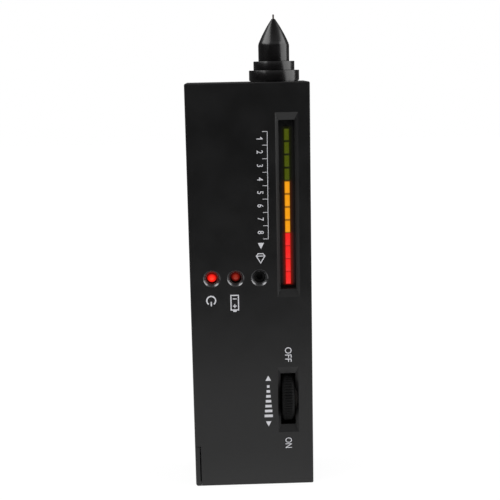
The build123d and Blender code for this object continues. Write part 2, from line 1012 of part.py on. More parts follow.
def coil_path(r, pitch, turns):
    """A coil as pairs of arcs that meet in line, one pair for each half turn."""
    rise = pitch / (2 * math.pi)
    length = math.hypot(r, rise)

    def place(angle):
        return Vector(r * math.cos(angle), r * math.sin(angle), rise * angle)

    def heading(angle):
        return Vector(-r * math.sin(angle), r * math.cos(angle), rise) / length

    arcs = []
    for i in range(2 * turns):
        start, end = place(i * math.pi), place((i + 1) * math.pi)
        out, into = heading(i * math.pi), heading((i + 1) * math.pi)
        gap = end - start
        a = 2 * out.dot(into) - 2
        b = -2 * gap.dot(out + into)
        c = gap.dot(gap)
        reach = (-b - math.sqrt(b * b - 4 * a * c)) / (2 * a)
        meet = (start + out * reach + end - into * reach) / 2
        arcs.append(TangentArc(start, meet, tangent=out))
        along = (end - into * reach - meet).normalized()
        arcs.append(TangentArc(meet, end, tangent=along))
    return Wire([edge for arc in arcs for edge in arc.edges()])


def probe_spring():
    z0 = seat_z1 + spring_wire_r + spring_end_gap
    height = head_z0 - seat_z1 - 2 * (spring_wire_r + spring_end_gap)
    path = coil_path(spring_r, height / spring_turns, spring_turns)
    section = Plane(origin=path @ 0, z_dir=path % 0) * RegularPolygon(spring_wire_r, wire_sides)
    return Pos(probe_x, 0, z0) * sweep(section, path=path)


def probe_leads():
    """Two fine leads from under the spring, down through the neck to the back of the board."""
    leads = []
    for side in (-1, 1):
        x = probe_x + side * probe_lead_pitch / 2
        leads.append(
            lead(
                [
                    (x, 0, seat_z0),
                    (x, 0, inner_top - lead_swing),
                    (x, board_y1 + lead_swing, board_z1),
                    (x, board_y1 + lead_swing, board_z1 - lead_rise),
                    (x, board_y1, board_z1 - lead_rise),
                ],
                probe_lead_r,
            )
        )
    return joined(leads)


def main():
    os.makedirs("parts", exist_ok=True)
    save(front_shell(), "front_shell")
    save(rear_shell(), "rear_shell")
    save(case_screws(), "case_screws")
    save(battery_door(), "battery_door")
    save(battery_pad(), "battery_pad")
    save(battery_jacket(), "battery_jacket")
    save(battery_cells(), "battery_cells")
    save(battery_terminals(), "battery_terminals")
    save(snap_contacts(), "snap_contacts")
    save(snap_connector(), "snap_connector")
    save(battery_lead(-1), "battery_lead_black")
    save(battery_lead(1), "battery_lead_red")
    save(main_board(), "main_board")
    save(board_screws(), "board_screws")
    save(led_holder(), "led_holder")
    for index in range(bar_count):
        colour = ("red", "amber", "green")[index // bar_group]
        save(bar_lamp(index), "led_" + colour + "_" + str(index % bar_group + 1))
    save(round_lamp(lamp_xs[0]), "ready_lamp")
    save(round_lamp(lamp_xs[1]), "battery_lamp")
    save(lamp_pins(), "lamp_pins")
    save(sounder(), "sounder")
    save(chips(), "chips")
    save(chip_legs(), "chip_legs")
    save(capacitors(), "capacitors")
    save(trimmer(), "trimmer")
    save(resistors(), "resistors")
    save(thumbwheel(), "thumbwheel")
    save(wheel_screw(), "wheel_screw")
    save(control_rotor(), "control_rotor")
    save(control_housing(), "control_housing")
    save(control_terminals(), "control_terminals")
    save(control_leads(), "control_leads")
    save(probe_collar(), "probe_collar")
    save(probe_ring(), "probe_ring")
    save(probe_nose(), "probe_nose")
    save(spring_seat(), "spring_seat")
    save(probe_tip(), "probe_tip")
    save(tip_heater(), "tip_heater")
    save(probe_spring(), "probe_spring")
    save(probe_leads(), "probe_leads")


main()
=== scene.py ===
import json
import math

import bmesh
import bpy
from bpy.props import FloatProperty, FloatVectorProperty, IntProperty, PointerProperty
from mathutils import Matrix, Vector


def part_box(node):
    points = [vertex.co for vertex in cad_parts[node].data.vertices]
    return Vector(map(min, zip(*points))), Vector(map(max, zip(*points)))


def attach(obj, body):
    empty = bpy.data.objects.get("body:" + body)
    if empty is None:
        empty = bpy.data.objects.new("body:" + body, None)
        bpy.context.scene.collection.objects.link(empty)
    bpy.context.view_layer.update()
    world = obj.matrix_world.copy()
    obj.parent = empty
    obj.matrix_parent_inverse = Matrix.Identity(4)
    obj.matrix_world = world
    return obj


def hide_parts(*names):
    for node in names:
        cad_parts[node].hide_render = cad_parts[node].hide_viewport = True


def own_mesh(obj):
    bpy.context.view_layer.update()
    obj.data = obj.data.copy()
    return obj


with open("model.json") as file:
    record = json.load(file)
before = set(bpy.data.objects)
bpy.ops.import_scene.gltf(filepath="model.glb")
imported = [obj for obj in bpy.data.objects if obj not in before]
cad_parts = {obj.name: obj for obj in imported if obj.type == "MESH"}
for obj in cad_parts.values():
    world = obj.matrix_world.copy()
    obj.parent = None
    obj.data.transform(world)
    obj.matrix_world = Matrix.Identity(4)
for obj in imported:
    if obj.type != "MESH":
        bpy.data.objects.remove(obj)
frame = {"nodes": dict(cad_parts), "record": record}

bl_info = {
    "name": "Gem tester finish",
    "version": (1, 0, 0),
    "blender": (4, 5, 0),
    "location": "3D view, sidebar, Gem tester",
    "description": "Detailed pieces, finishes and a stage for a pocket gem tester",
    "category": "Object",
}

MM = 0.001
NEAR = 1e-7  # corners of a drawn piece that lie nearer than this are one

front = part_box("front_shell")[0].y
bar_low, bar_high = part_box("led_red_1")
collar_low, collar_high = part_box("probe_collar")
probe_x = (collar_low.x + collar_high.x) / 2


# Working by hand


def nothing_selected():
    if bpy.context.object and bpy.context.object.mode != "OBJECT":
        bpy.ops.object.mode_set(mode="OBJECT")
    bpy.ops.object.select_all(action="DESELECT")


def only(piece):
    nothing_selected()
    piece.select_set(True)
    bpy.context.view_layer.objects.active = piece


def settle(piece):
    """Moves the piece's place, turn and size into its mesh."""
    only(piece)
    bpy.ops.object.transform_apply(location=True, rotation=True, scale=True)
    return piece


def named(name):
    piece = bpy.context.object
    piece.name = name
    piece.data.name = name
    return piece


def added(name, data):
    """A new object of a mesh or a curve."""
    piece = bpy.data.objects.new(name, data)
    data.name = name
    bpy.context.scene.collection.objects.link(piece)
    return piece


def shaping(piece, kind="FACE"):
    only(piece)
    bpy.ops.object.mode_set(mode="EDIT")
    bpy.ops.mesh.select_mode(type=kind)


def done():
    bpy.ops.object.mode_set(mode="OBJECT")


def merged(distance):
    """Selects all of the piece in hand and joins the corners that lie nearer than a distance."""
    bpy.ops.mesh.select_all(action="SELECT")
    bpy.ops.mesh.remove_doubles(threshold=distance)


def block(name, low, high):
    """A block between two corners."""
    low, high = Vector(low), Vector(high)
    nothing_selected()
    bpy.ops.mesh.primitive_cube_add(size=1, location=(low + high) / 2)
    piece = named(name)
    piece.scale = high - low
    return settle(piece)


def modified(piece, kind, **settings):
    """Applies a modifier with some settings."""
    only(piece)
    step = piece.modifiers.new("step", kind)
    for name, value in settings.items():
        setattr(step, name, value)
    bpy.ops.object.modifier_apply(modifier=step.name)
    return piece


def rounded(piece, width, segments, angle=30):
    """Rounds the piece's edges that are sharper than the angle."""
    return modified(
        piece, "BEVEL", width=width, segments=segments, limit_method="ANGLE", angle_limit=math.radians(angle),
        use_clamp_overlap=True,
    )


def smooth(piece, angle=35):
    only(piece)
    bpy.ops.object.shade_smooth_by_angle(angle=math.radians(angle))
    return piece


def turned(name, outline, sides, hollow=False):
    """A turned piece about an upright axis, drawn ring by ring from radii and heights in millimetres."""
    nothing_selected()
    fill = "NOTHING" if hollow else "NGON"
    outline = [(r * MM, z * MM) for r, z in outline]
    radius, height = outline[0]
    bpy.ops.mesh.primitive_circle_add(vertices=sides, radius=radius, fill_type=fill)
    piece = named(name)
    piece.location.z = height
    settle(piece)
    shaping(piece, "EDGE" if hollow else "FACE")
    bpy.ops.mesh.select_all(action="SELECT")
    for (r0, z0), (r1, z1) in zip(outline, outline[1:]):
        bpy.ops.mesh.extrude_region_move(TRANSFORM_OT_translate={"value": (0, 0, z1 - z0)})
        bpy.ops.transform.resize(value=(r1 / r0, r1 / r0, 1), center_override=(0, 0, z1))
    merged(NEAR)
    bpy.ops.mesh.normals_make_consistent(inside=False)
    done()
    return piece


def stood(piece, place, turn=0.0):
    """Tips an upright piece about the left-right axis and puts it in its place."""
    piece.rotation_euler = (turn, 0, 0)
    piece.location = place
    return settle(piece)


def again(piece, name, shift):
    """Another of the same piece, moved along, with its own mesh."""
    other = added(name, piece.data.copy())
    other.location = shift
    return settle(other)


def cut(piece, cutter):
    modified(piece, "BOOLEAN", operation="DIFFERENCE", solver="EXACT", object=cutter)
    bpy.data.objects.remove(cutter)


def together(name, pieces):
    only(pieces[0])
    for piece in pieces[1:]:
        piece.select_set(True)
    bpy.ops.object.join()
    return named(name)


def nudged(piece, low, high, shift):
    """Moves the corners of a piece that lie in a box."""
    shaping(piece, "VERT")
    bpy.ops.mesh.select_all(action="DESELECT")
    done()
    for corner in piece.data.vertices:
        corner.select = all(a <= c <= b for a, c, b in zip(low, corner.co, high))
    shaping(piece, "VERT")
    bpy.ops.transform.translate(value=shift)
    done()


def moulded_copy(node, name, width, angle=28):
    """A closed copy of a CAD node with its sharp edges eased, as a mould leaves them."""
    piece = added(name, frame["nodes"][node].data.copy())
    piece.data.materials.clear()
    shaping(piece, "VERT")
    merged(10 * NEAR)
    bpy.ops.mesh.dissolve_limited(angle_limit=math.radians(0.5))
    done()
    smooth(rounded(piece, width, 2, angle), 40)
    return modified(piece, "WEIGHTED_NORMAL", keep_sharp=True)


def lead(name, points, radius):
    """A smooth insulated lead along a few points in millimetres."""
    nothing_selected()
    line = bpy.data.curves.new(name, "CURVE")
    line.dimensions = "3D"
    spline = line.splines.new("NURBS")
    spline.points.add(len(points) - 1)
    for point, place in zip(spline.points, points):
        point.co = (*[c * MM for c in place], 1)
    spline.order_u = 3
    spline.use_endpoint_u = True
    spline.resolution_u = 8
    line.bevel_depth = radius * MM
    line.bevel_resolution = 4
    line.use_fill_caps = True
    only(added(name, line))
    bpy.ops.object.convert(target="MESH")
    piece = named(name)
    bpy.ops.object.shade_smooth()
    return piece


def coil(name, node, wire, turns):
    """A coil spring of round wire in the place of a node, whose last turns lie flat."""
    low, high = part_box(node)
    middle = (low + high) / 2 / MM
    radius = (high.x - low.x) / 2 / MM - wire
    foot, rise = low.z / MM + wire, (high.z - low.z) / MM - 2 * wire
    steps, flat = 24, 0.06
    route = []
    for i in range(turns * steps + 1):
        share, angle = i / (turns * steps), math.tau * i / steps
        level = min(max((share - flat) / (1 - 2 * flat), 0), 1)
        x, y = middle.x + radius * math.cos(angle), middle.y + radius * math.sin(angle)
        route.append((x, y, foot + rise * level))
    return lead(name, route, wire)


def mounted(piece, body, slot, material, *nodes):
    """Gives a piece its finish and its body, and hides the nodes that it stands for."""
    piece.data.materials.clear()
    piece.data.materials.append(material)
    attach(piece, body)
    if nodes:
        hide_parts(*nodes)
    return piece


# Finishes


def screen(red, green, blue):
    """A colour given as a screen shows it, in the shader's own scale."""
    shares = (c / 255 for c in (red, green, blue))
    return tuple(((s + 0.055) / 1.055) ** 2.4 if s > 0.04 else s / 12.92 for s in shares)


class Wiring:
    """The nodes of a finish or of the room, with the few kinds of step that they are made of."""

    def __init__(self, owner):
        self.nodes, self.links = owner.node_tree.nodes, owner.node_tree.links

    @property
    def shader(self):
        return self.nodes["Principled BSDF"]

    def fill(self, socket, value):
        """Joins a socket to another one, or sets it to a plain value."""
        if isinstance(value, bpy.types.NodeSocket):
            self.links.new(value, socket)
        else:
            socket.default_value = value

    def add(self, kind, **inputs):
        """A new node, whose inputs are joined or set by their names."""
        node = self.nodes.new("ShaderNode" + kind)
        for name, value in inputs.items():
            self.fill(node.inputs[name.replace("_", " ")], value)
        return node

    def places(self):
        """The piece's own coordinates, each on its own."""
        return self.add("SeparateXYZ", Vector=self.add("TexCoord").outputs["Object"]).outputs

    def ranged(self, value, low, high, to_low, to_high):
        """The value's place between two limits, on another scale."""
        step = self.add("MapRange", Value=value, From_Min=low, From_Max=high, To_Min=to_low, To_Max=to_high)
        return step.outputs["Result"]

    def worked(self, operation, first, second=0):
        """One sum of two values."""
        step = self.add("Math")
        step.operation = operation
        self.fill(step.inputs[0], first)
        self.fill(step.inputs[1], second)
        return step.outputs["Value"]

    def vector(self, operation, first, second=(0, 0, 0)):
        """What comes of a vector and another one, or of a vector and its scale."""
        step = self.add("VectorMath")
        step.operation = operation
        self.fill(step.inputs[0], first)
        self.fill(step.inputs["Scale" if operation == "SCALE" else 1], second)
        return step.outputs

    def ramp(self, value, stops):
        """A colour from a row of stops, each a position and a colour."""
        step = self.add("ValToRGB", Fac=value)
        row = step.color_ramp.elements
        for end, (position, colour) in ((0, stops[0]), (1, stops[-1])):
            row[end].position, row[end].color = position, (*colour, 1)
        for position, colour in stops[1:-1]:
            row.new(position).color = (*colour, 1)
        return step.outputs["Color"]

    def mixed(self, kind, share, first, second):
        """A blend of two values or two colours by a share."""
        step = self.add("Mix")
        step.data_type = kind
        ending = {"FLOAT": "Float", "RGBA": "Color"}[kind]
        inputs = {i.identifier: i for i in step.inputs}
        for name, value in (("Factor_Float", share), ("A_" + ending, first), ("B_" + ending, second)):
            self.fill(inputs[name], value)
        return {o.identifier: o for o in step.outputs}["Result_" + ending]

    def blend(self, name, share, value):
        """Blends another value into one of the shader's own by a share."""
        socket = self.shader.inputs[name]
        before = socket.links[0].from_socket if socket.is_linked else socket.default_value
        kind = "RGBA" if socket.type == "RGBA" else "FLOAT"
        self.links.new(self.mixed(kind, share, before, value), socket)

    def dimmed(self, colour, level):
        """Lets the surface give off a colour, dimmed by a level."""
        self.fill(self.shader.inputs["Emission Color"], self.vector("SCALE", colour, level)["Vector"])

    def either(self, share, first, second):
        """One surface or another, by a share."""
        step = self.add("MixShader", Fac=share)
        self.links.new(first.outputs[0], step.inputs[1])
        self.links.new(second.outputs[0], step.inputs[2])
        return step


def finish(name, dark, light, patch, shine, metal=0.0, grain=0.0, depth=0.0, strength=0.5, **plain):
    """A finish whose colour and shine drift in patches, with a fine grain in the surface."""
    material = bpy.data.materials.new(name)
    material.use_nodes = True
    wires = Wiring(material)
    inputs = wires.shader.inputs
    inputs["Metallic"].default_value = metal
    for socket, value in plain.items():
        inputs[socket.replace("_", " ")].default_value = value
    place = wires.add("TexCoord").outputs["Object"]
    cloud = wires.add("TexNoise", Vector=place, Scale=1 / patch, Detail=4).outputs["Fac"]
    wires.fill(inputs["Base Color"], wires.ramp(cloud, [(0.35, dark), (0.65, light)]))
    wires.fill(inputs["Roughness"], wires.ranged(cloud, 0.3, 0.7, *shine))
    if grain:
        spark = wires.add("TexNoise", Vector=place, Scale=1 / grain, Detail=3).outputs["Fac"]
        bump = wires.add("Bump", Strength=strength, Distance=depth, Height=spark)
        wires.fill(inputs["Normal"], bump.outputs["Normal"])
    return material


def polish_and_painted_shade(material, centres, radius, back, colour, shine, metal):
    """Gives a finish another colour and shine round any of the centres, in front of a depth; it gives the
    countersinks their polish and paints shade into the holes.
    """
    edge, fade = 0.02 * MM, 0.1 * MM
    wires = Wiring(material)
    place = wires.add("TexCoord").outputs["Object"]
    flat = wires.add("Mapping", Vector=place, Scale=(1, 0, 1)).outputs["Vector"]
    nearest = None
    for centre in centres:
        away = wires.vector("DISTANCE", flat, (centre.x, 0, centre.z))["Value"]
        nearest = away if nearest is None else wires.worked("MINIMUM", nearest, away)
    near = wires.ranged(nearest, radius - edge, radius + edge, 1, 0)
    ahead = wires.ranged(wires.places()["Y"], back - fade, back, 1, 0)
    near = wires.worked("MULTIPLY", near, ahead)
    for name, value in (("Base Color", (*colour, 1)), ("Roughness", shine), ("Metallic", metal)):
        wires.blend(name, near, value)


def seamed(material, depth, width):
    """A darker, duller line where the two mouldings meet, at a depth."""
    wires = Wiring(material)
    away = wires.worked("ABSOLUTE", wires.worked("SUBTRACT", wires.places()["Y"], depth))
    near = wires.ranged(away, width / 2, width, 1, 0)
    wires.blend("Base Color", near, (0.0008, 0.0008, 0.0008, 1))
    wires.blend("Roughness", near, 0.95)


def spilled(material, middle, low, high, colours, reach):
    """Light of the bars on the piece beside them, by height and by the distance from their middle."""
    blur, fade, fall = 0.01, 0.6 * MM, 2.5
    wires = Wiring(material)
    places = wires.places()
    stops = [(0, colours[0])]
    for i in (1, 2):
        stops += [(i / 3 - blur, colours[i - 1]), (i / 3 + blur, colours[i])]
    stops.append((1, colours[-1]))
    colour = wires.ramp(wires.ranged(places["Z"], low, high, 0, 1), stops)
    aside = wires.worked("ABSOLUTE", wires.worked("SUBTRACT", places["X"], middle))
    near = wires.worked("POWER", wires.ranged(aside, *reach, 1, 0), fall)
    above = wires.ranged(places["Z"], low - fade, low, 0, 1)
    below = wires.ranged(places["Z"], high, high + fade, 1, 0)
    beside = wires.worked("MULTIPLY", above, below)
    wires.dimmed(colour, wires.worked("MULTIPLY", near, beside))
    wires.shader.inputs["Emission Strength"].default_value = 1


def glowing(material, colours, level, reach, x, z=None):
    """Lights a finish from inside, from its middle out: about a point, or about an upright line."""
    wires = Wiring(material)
    place = wires.add("TexCoord").outputs["Object"]
    upright = 0 if z is None else 1
    shift = wires.add("Mapping", Vector=place, Location=(-x, 0, -(z or 0)), Scale=(1, 0, upright))
    away = wires.vector("LENGTH", shift.outputs["Vector"])["Value"]
    stops = [(i / (len(colours) - 1), colour) for i, colour in enumerate(colours)]
    colour = wires.ramp(wires.ranged(away, 0, reach, 0, 1), stops)
    wires.fill(wires.shader.inputs["Emission Color"], colour)
    wires.shader.inputs["Emission Strength"].default_value = level


def parted(material, start, pitch, lit, between, face):
    """Dims a lit finish between the bars of a row, and on their sides behind the face."""
    rise, fall, depth, behind = 0.1 * MM, 0.12 * MM, 0.5 * MM, 0.15
    wires = Wiring(material)
    places = wires.places()
    along = wires.worked("FLOORED_MODULO", wires.worked("SUBTRACT", places["Z"], start), pitch)
    low = wires.ranged(along, 0, rise, between, 1)
    high = wires.ranged(along, lit - fall, lit, 1, between)
    ahead = wires.ranged(places["Y"], face, face + depth, 1, behind)
    level = wires.worked("MULTIPLY", wires.worked("MULTIPLY", low, high), ahead)
    wires.dimmed(wires.shader.inputs["Emission Color"].links[0].from_socket, level)


# What a user would change


class TesterStage(bpy.types.PropertyGroup):
    floor_width: FloatProperty(
        name="Floor width", description="Width and depth of the floor", default=1.6, unit="LENGTH"
    )
    floor_front: FloatProperty(
        name="Floor front", description="How far the floor reaches out in front", default=0.15, unit="LENGTH"
    )
    left_power: FloatProperty(
        name="Left lamp", description="Power of the soft lamp up on the left", default=3.0, unit="POWER"
    )
    right_power: FloatProperty(
        name="Right lamp", description="Power of the tall soft lamp on the right", default=4.0, unit="POWER"
    )
    room_light: FloatProperty(
        name="Room light", description="Even light from all round", default=0.55, min=0, soft_max=2
    )


class TesterCase(bpy.types.PropertyGroup):
    colour: FloatVectorProperty(
        name="Case colour", description="Colour of the moulding", default=(0.0064, 0.0064, 0.0067),
        size=3, subtype="COLOR", min=0, max=1,
    )
    edge: FloatProperty(
        name="Edge rounding", description="Rounding of sharp moulded edges", default=0.12 * MM, unit="LENGTH"
    )
    grain: FloatProperty(
        name="Grain size", description="Size of the moulding's fine grain", default=0.16 * MM, unit="LENGTH"
    )


class TesterPrint(bpy.types.PropertyGroup):
    colour: FloatVectorProperty(
        name="Ink colour", description="Colour of the printing", default=screen(214, 214, 219),
        size=3, subtype="COLOR", min=0, max=1,
    )
    thickness: FloatProperty(
        name="Ink thickness", description="How thick the ink lies", default=0.02 * MM, unit="LENGTH"
    )
    line: FloatProperty(
        name="Line width", description="Width of the scale's lines", default=0.16 * MM, unit="LENGTH"
    )
    numeral: FloatProperty(
        name="Numeral height", description="Height of the numerals", default=1.85 * MM, unit="LENGTH"
    )


class TesterDisplay(bpy.types.PropertyGroup):
    red: FloatVectorProperty(
        name="Red bars", description="Light of the lit red bars", default=screen(240, 32, 29),
        size=3, subtype="COLOR", min=0, max=1,
    )
    amber: FloatVectorProperty(
        name="Amber bars", description="Light of the lit amber bars", default=screen(240, 154, 2),
        size=3, subtype="COLOR", min=0, max=1,
    )
    green: FloatVectorProperty(
        name="Green bars", description="Light of the dim green bars", default=screen(69, 79, 2),
        size=3, subtype="COLOR", min=0, max=1,
    )
    corner: FloatProperty(
        name="Bar rounding", description="Rounding of a bar's edges", default=0.08 * MM, unit="LENGTH"
    )


class TesterProbe(bpy.types.PropertyGroup):
    colour: FloatVectorProperty(
        name="Probe colour", description="Colour of the probe's plastic", default=(0.0042, 0.0038, 0.004),
        size=3, subtype="COLOR", min=0, max=1,
    )
    sides: IntProperty(
        name="Turning steps", description="Steps round a turned piece", default=96, min=24, max=256
    )


GROUPS = {
    "tester_stage": TesterStage,
    "tester_case": TesterCase,
    "tester_print": TesterPrint,
    "tester_display": TesterDisplay,
    "tester_probe": TesterProbe,
}


# Stage


# Ranges of the floor's finish: two distances from the foot in metres, and what it is at them
FLOOR_WHITE, FLOOR_DIM, FOOT_DIM = (0.04, 0.22, 0.88, 1), (0.04, 0.13, 0.35, -0.09), (0.02, 0.04, 0.25, 0)
FLOOR_GLOW = 1.05


def floor_finish():
    """White where it is seen, with the object's own shadow kept, and dimmer near the foot in reflections."""
    material = bpy.data.materials.new("floor_white")
    material.use_nodes = True
    wires = Wiring(material)
    wires.nodes.remove(wires.shader)
    matt = wires.add("BsdfDiffuse", Color=(0.8, 0.8, 0.8, 1))
    away = wires.vector("LENGTH", wires.add("TexCoord").outputs["Object"])["Value"]
    ray = wires.add("LightPath").outputs
    seen = wires.worked("MAXIMUM", ray["Is Camera Ray"], ray["Is Glossy Ray"])
    seen = wires.worked("MAXIMUM", seen, ray["Is Transmission Ray"])
    share = wires.worked("MULTIPLY", seen, wires.ranged(away, *FLOOR_WHITE))
    foot = wires.ranged(away, *FOOT_DIM)
    dimmer = wires.worked("SUBTRACT", wires.ranged(away, *FLOOR_DIM), foot)
    dimmer = wires.worked("MULTIPLY", ray["Is Glossy Ray"], dimmer)
    glow = wires.add("Emission", Strength=wires.worked("SUBTRACT", FLOOR_GLOW, dimmer))
    surface = wires.either(share, matt, glow).outputs["Shader"]
    wires.fill(wires.nodes["Material Output"].inputs["Surface"], surface)
    return material


def room(level):
    """An even room for the light, white where it is seen, and dark behind the camera in reflections."""
    world = bpy.data.worlds.new("room")
    bpy.context.scene.world = world
    world.use_nodes = True
    wires = Wiring(world)
    wires.nodes.clear()
    even = wires.add("Background", Color=(1, 1, 1, 1), Strength=level)
    white = wires.add("Background", Color=(1, 1, 1, 1), Strength=1)
    towards = wires.add("TexCoord").outputs["Generated"]
    parts = wires.add("SeparateXYZ", Vector=towards).outputs
    behind = wires.ranged(parts["Y"], 0, 0.7, 0.02, 0.1)
    heights = ((0.34, 0), (0.52, 0.62), (0.64, 0.62), (0.8, 0.3), (0.92, 0.14))
    above = wires.ramp(parts["Z"], [(height, [strength] * 3) for height, strength in heights])
    mirrored = wires.add("Background", Strength=wires.worked("MAXIMUM", behind, above))
    ray = wires.add("LightPath").outputs
    bounce = wires.worked("MAXIMUM", ray["Is Glossy Ray"], ray["Is Transmission Ray"])
    seen = wires.either(ray["Is Camera Ray"], wires.either(bounce, even, mirrored), white)
    wires.add("OutputWorld", Surface=seen.outputs["Shader"])


LAMP_DISTANCE = 0.7


def soft_lamp(name, azimuth, height, width, tall, power):
    """A soft lamp round the object: azimuth is from the front towards the right, in degrees."""
    a, e = math.radians(azimuth), math.radians(height)
    aim = Vector((0, 0, 0.1))
    towards = Vector((math.sin(a) * math.cos(e), -math.cos(a) * math.cos(e), math.sin(e)))
    bpy.ops.object.light_add(type="AREA", location=aim + towards * LAMP_DISTANCE)
    lamp = named(name)
    lamp.data.shape = "RECTANGLE"
    lamp.data.size = width
    lamp.data.size_y = tall
    lamp.data.energy = power
    lamp.rotation_euler = towards.to_track_quat("Z", "Y").to_euler()
    lamp.visible_camera = False


# The camera's place and lens in millimetres, and its pitch, yaw and roll in degrees
EYE_PLACE, EYE_LENS, EYE_SENSOR = (-8.184, -313.558, 130.764), 72.909, 36
EYE_TURNS = (10.291, 1.529, -1.151)


def camera():
    pitch, yaw, roll = (math.radians(turn) for turn in EYE_TURNS)
    ahead = Vector((math.sin(yaw) * math.cos(pitch), math.cos(yaw) * math.cos(pitch), -math.sin(pitch)))
    right = Vector((math.cos(yaw), -math.sin(yaw), 0))
    up = right.cross(ahead)
    across = right * math.cos(roll) + up * math.sin(roll)
    over = up * math.cos(roll) - right * math.sin(roll)
    turn = Matrix((across, over, -ahead)).transposed().to_4x4()
    bpy.ops.object.camera_add()
    eye = bpy.context.object
    eye.name = "eye"
    eye.matrix_world = Matrix.Translation(Vector(EYE_PLACE) * MM) @ turn
    eye.data.sensor_width = EYE_SENSOR
    eye.data.lens = EYE_LENS
    eye.data.clip_start = 0.01
    eye.data.clip_end = 20
    bpy.context.scene.camera = eye


class TesterStageOperator(bpy.types.Operator):
    """Adds the floor, the room, the two soft lamps and the camera"""

    bl_idname = "tester.stage"
    bl_label = "Stage"

    def execute(self, context):
        sizes = context.scene.tester_stage
        nothing_selected()
        bpy.ops.mesh.primitive_plane_add(size=sizes.floor_width)
        floor = named("floor")
        floor.location = (0, sizes.floor_width / 2 - sizes.floor_front, -0.01 * MM)
        settle(floor)
        floor.data.materials.append(floor_finish())
        room(sizes.room_light)
        for name, azimuth, height, wide, tall, power in (
            ("left_lamp", -77, 42, 0.74, 0.36, sizes.left_power),
            ("right_lamp", 79, 20, 0.72, 0.6, sizes.right_power),
        ):
            soft_lamp(name, azimuth, height, wide, tall, power)
        camera()
        context.scene.view_settings.view_transform = "Standard"
        return {"FINISHED"}


# Case

# The end of the door's foot, drawn a little longer than the solid: a box round it, and its move
DOOR_FOOT = Vector((-17.1, -11, -1)) * MM, Vector((-16.9, 11, 1.7)) * MM, (0.1 * MM, 0, 0)
SCREWS = [(-15.6, 121.5), (15.6, 121.5), (-15.6, 57.2), (15.6, 8.0)]


class TesterCaseOperator(bpy.types.Operator):
    """Dresses both halves of the case and the battery door in grained black plastic"""

    bl_idname = "tester.case"
    bl_label = "Case and battery door"

    def execute(self, context):
        sizes = context.scene.tester_case
        base = Vector(sizes.colour)
        blacks = {
            body: finish(
                "moulded_black_" + body, base * 0.9, base * 1.15, 9 * MM, (0.36, 0.43),
                grain=sizes.grain, depth=0.006 * MM, strength=0.6,
            )
            for body in ("case", "door")
        }
        black = blacks["case"]
        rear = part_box("rear_shell")[1].y
        seamed(black, (front + rear) / 2, 0.14 * MM)
        centres = [(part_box(node)[0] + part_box(node)[1]) / 2 for node in ("ready_lamp", "battery_lamp")]
        centres.append(centres[1] * 2 - centres[0])
        # The countersinks' bright polished cones, and painted shade in the holes in them (a near-black, dull
        # colour where shade falls), with their radii and depths
        for radius, depth, colour, shine, metal in (
            (2.58, 1.2, (0.16, 0.16, 0.165), 0.26, 0.9),
            # painted shade: the walls of the holes are coloured near black and dull, where shade falls
            (1.75, 4, (0.0012, 0.0012, 0.0012), 0.9, 0),
        ):
            polish_and_painted_shade(black, centres, radius * MM, front + depth * MM, colour, shine, metal)
        for node, name, body in (
            ("front_shell", "case_front", "case"),
            ("rear_shell", "case_rear", "case"),
            ("battery_door", "door_moulding", "door"),
        ):
            piece = moulded_copy(node, name, sizes.edge, 15)
            if body == "door":
                nudged(piece, *DOOR_FOOT)
            mounted(piece, body, "case_black", blacks[body], node)
        return {"FINISHED"}


class TesterScrewsOperator(bpy.types.Operator):
    """Cross head screws that hold the two halves together"""

    bl_idname = "tester.screws"
    bl_label = "Case screws"

    def execute(self, context):
        steel = finish(
            "screw_steel", (0.2, 0.2, 0.21), (0.34, 0.34, 0.35), 1.2 * MM, (0.28, 0.42),
            metal=1.0, grain=0.08 * MM, depth=0.004 * MM,
        )
        outline = [(0.05, -5.4), (0.6, -5.4), (1.08, -4.4), (1.08, 4.0), (1.72, 4.0), (1.72, 4.75)]
        outline += [(1.6, 5.05), (1.3, 5.22), (0.8, 5.3), (0.05, 5.3)]
        screw = turned("case_screw_1", outline, 40)
        narrow, long = 0.42 * MM / 2, 1.9 * MM / 2
        for w, t in ((narrow, long), (long, narrow)):
            cut(screw, block("cross", (-w, -t, 4.5 * MM), (w, t, 6 * MM)))
        first_x, first_z = SCREWS[0]
        stood(screw, (first_x * MM, 0, first_z * MM), -math.pi / 2)
        smooth(screw)
        for i, (x, z) in enumerate(SCREWS[1:], 2):
            shift = ((x - first_x) * MM, 0, (z - first_z) * MM)
            mounted(again(screw, f"case_screw_{i}", shift), "case", "steel", steel, "case_screws")
        mounted(screw, "case", "steel", steel, "case_screws")
        return {"FINISHED"}


# Printing


def on_front(piece, x, z):
    """Lays a flat drawing on the front, so that it reads from top to bottom."""
    turn = Matrix(((0, 1, 0), (0, 0, -1), (-1, 0, 0))).to_4x4()
    piece.matrix_world = Matrix.Translation(Vector((x * MM, front, z * MM))) @ turn
    return settle(piece)


def leaned(piece, x, z, angle):
    """Leans a drawing on the front by a small angle about a place of it, as a print pad leaves it."""
    place = Matrix.Translation(Vector((x * MM, front, z * MM)))
    piece.matrix_world = place @ Matrix.Rotation(angle, 4, "Y") @ place.inverted()
    return settle(piece)


def drawn(name, text, tall, thick, long=None, weight=0.005):
    """Upright letters or numerals of a given height and length, as a thin mesh about its middle."""
    slim = 0.82
    nothing_selected()
    bpy.ops.object.text_add()
    word = bpy.context.object
    word.data.body = text
    word.data.size = 1
    word.data.offset = weight
    word.data.extrude = 0.5
    word.data.resolution_u = 6
    bpy.ops.object.convert(target="MESH")
    word = named(name)
    xs, ys = ([v.co[i] for v in word.data.vertices] for i in (0, 1))
    left, right, low, high = min(xs), max(xs), min(ys), max(ys)
    size = tall / (high - low)
    across = long / (right - left) if long else size * slim
    word.location = (-(left + right) / 2 * across, -(low + high) / 2 * size, 0)
    word.scale = (across, size, thick)
    return settle(word)


def triangle(name, side, tall, thick):
    """A triangle that points to the drawing's right."""
    nothing_selected()
    bpy.ops.mesh.primitive_cylinder_add(vertices=3, radius=1, depth=1)
    piece = named(name)
    piece.rotation_euler = (0, 0, -math.pi / 2)
    settle(piece)
    piece.scale = (tall / 1.5, side / math.sqrt(3), thick)
    return settle(piece)


